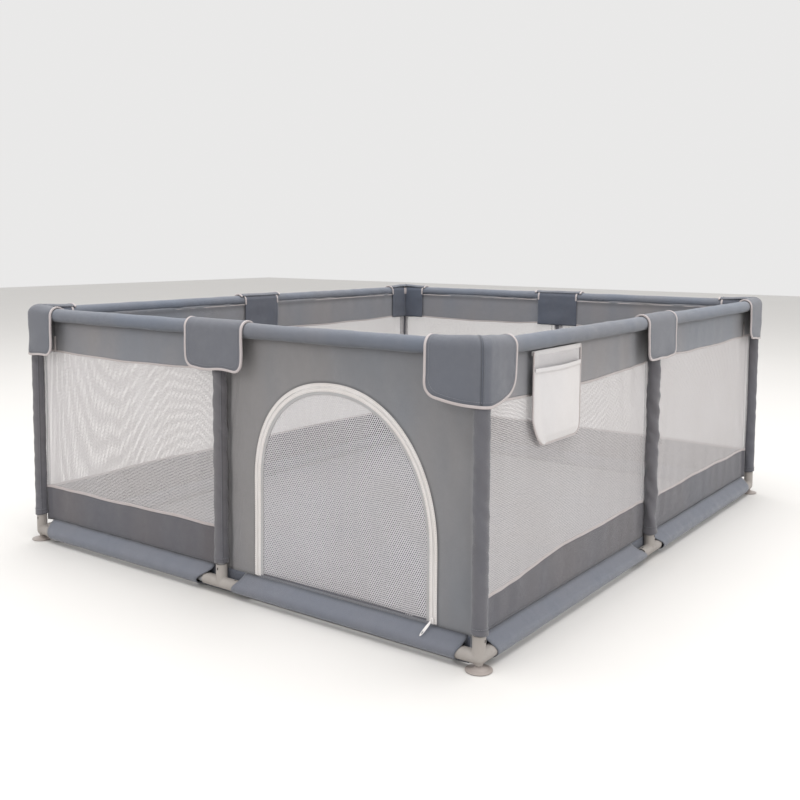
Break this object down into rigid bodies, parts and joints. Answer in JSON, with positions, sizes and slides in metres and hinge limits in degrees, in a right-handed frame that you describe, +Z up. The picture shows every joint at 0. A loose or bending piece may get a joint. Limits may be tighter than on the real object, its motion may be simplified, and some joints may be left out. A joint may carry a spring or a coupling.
{
  "type": "playpen",
  "caption": "Rectangular fabric playpen on a plug-together tube frame, with padded rails, mesh windows, lift-up joint covers, an arched zipped door and a hanging pocket.",
  "frame": {"origin": "on the floor, at the middle of the pen's outline", "axes": "+X across the pen, +Y from the door wall to the far wall along the long side, +Z up"},
  "size_m": [1.506, 1.806, 0.6649],
  "materials": {
    "oxford_cloth": "woven polyester, slight sheen",
    "mesh_cloth": "open knitted mesh",
    "floor_mat_cloth": "quilted cloth, matt",
    "binding_cloth": "bias binding",
    "zip_tape": "woven tape",
    "zip_plastic": "gloss",
    "connector_plastic": "satin moulded",
    "cup_rubber": "satin",
    "tube_steel": "satin powder coat"
  },
  "bodies": {
    "frame": {"post_front_left": "tube_steel", "bottom_corner_connector_front_left": "connector_plastic", "top_corner_connector_front_left": "connector_plastic", "suction_cup_front_left": "cup_rubber", "post_front_right": "tube_steel", "bottom_corner_connector_front_right": "connector_plastic", "top_corner_connector_front_right": "connector_plastic", "suction_cup_front_right": "cup_rubber", "post_back_right": "tube_steel", "bottom_corner_connector_back_right": "connector_plastic", "top_corner_connector_back_right": "connector_plastic", "suction_cup_back_right": "cup_rubber", "post_back_left": "tube_steel", "bottom_corner_connector_back_left": "connector_plastic", "top_corner_connector_back_left": "connector_plastic", "suction_cup_back_left": "cup_rubber", "post_front": "tube_steel", "bottom_tee_connector_front": "connector_plastic", "top_tee_connector_front": "connector_plastic", "bottom_rail_front_left": "tube_steel", "bottom_rail_front_right": "tube_steel", "top_rail_front_left": "tube_steel", "top_rail_front_right": "tube_steel", "post_right": "tube_steel", "bottom_tee_connector_right": "connector_plastic", "top_tee_connector_right": "connector_plastic", "bottom_rail_right_left": "tube_steel", "bottom_rail_right_right": "tube_steel", "top_rail_right_left": "tube_steel", "top_rail_right_right": "tube_steel", "post_back": "tube_steel", "bottom_tee_connector_back": "connector_plastic", "top_tee_connector_back": "connector_plastic", "bottom_rail_back_left": "tube_steel", "bottom_rail_back_right": "tube_steel", "top_rail_back_left": "tube_steel", "top_rail_back_right": "tube_steel", "post_left": "tube_steel", "bottom_tee_connector_left": "connector_plastic", "top_tee_connector_left": "connector_plastic", "bottom_rail_left_left": "tube_steel", "bottom_rail_left_right": "tube_steel", "top_rail_left_left": "tube_steel", "top_rail_left_right": "tube_steel", "wall_front": "oxford_cloth", "wall_right": "oxford_cloth", "wall_back": "oxford_cloth", "wall_left": "oxford_cloth", "floor_mat": "floor_mat_cloth"},
    "cover_front": {"cover_front": "oxford_cloth"},
    "cover_right": {"cover_right": "oxford_cloth"},
    "cover_back": {"cover_back": "oxford_cloth"},
    "cover_left": {"cover_left": "oxford_cloth"},
    "cover_front_left": {"cover_front_left": "oxford_cloth"},
    "cover_front_right": {"cover_front_right": "oxford_cloth"},
    "cover_back_right": {"cover_back_right": "oxford_cloth"},
    "cover_back_left": {"cover_back_left": "oxford_cloth"},
    "door_flap": {"door_flap": "mesh_cloth"},
    "zip_slider": {"zip_slider": "zip_plastic"},
    "storage_pocket": {"storage_pocket": "mesh_cloth"}
  },
  "joints": [
    {"name": "cover_front_lift", "type": "hinge", "parent": "frame", "child": "cover_front", "pos_m": [0, -0.85732, 0.65768], "axis": [-1, 0, 0], "range_deg": [0, 110]},
    {"name": "cover_right_lift", "type": "hinge", "parent": "frame", "child": "cover_right", "pos_m": [0.70732, 0, 0.65768], "axis": [0, -1, 0], "range_deg": [0, 110]},
    {"name": "cover_back_lift", "type": "hinge", "parent": "frame", "child": "cover_back", "pos_m": [0, 0.85732, 0.65768], "axis": [1, 0, 0], "range_deg": [0, 110]},
    {"name": "cover_left_lift", "type": "hinge", "parent": "frame", "child": "cover_left", "pos_m": [-0.70732, 0, 0.65768], "axis": [0, 1, 0], "range_deg": [0, 110]},
    {"name": "cover_front_left_lift", "type": "hinge", "parent": "frame", "child": "cover_front_left", "pos_m": [-0.66016, -0.81016, 0.65768], "axis": [-0.7071, 0.7071, 0], "range_deg": [0, 110]},
    {"name": "cover_front_right_lift", "type": "hinge", "parent": "frame", "child": "cover_front_right", "pos_m": [0.66016, -0.81016, 0.65768], "axis": [-0.7071, -0.7071, 0], "range_deg": [0, 110]},
    {"name": "cover_back_right_lift", "type": "hinge", "parent": "frame", "child": "cover_back_right", "pos_m": [0.66016, 0.81016, 0.65768], "axis": [0.7071, -0.7071, 0], "range_deg": [0, 110]},
    {"name": "cover_back_left_lift", "type": "hinge", "parent": "frame", "child": "cover_back_left", "pos_m": [-0.66016, 0.81016, 0.65768], "axis": [0.7071, 0.7071, 0], "range_deg": [0, 110]},
    {"name": "door_fold", "type": "hinge", "parent": "frame", "child": "door_flap", "pos_m": [0.356, -0.8585, 0.0616], "axis": [-1, 0, 0], "range_deg": [0, 95]},
    {"name": "zip_pull_up", "type": "slide", "parent": "frame", "child": "zip_slider", "axis": [0, 0, 1], "range_m": [0, 0.14]},
    {"name": "pocket_swing", "type": "hinge", "parent": "frame", "child": "storage_pocket", "pos_m": [0.72, -0.555, 0.617], "axis": [0, -1, 0], "range_deg": [0, 60]}
  ]
}
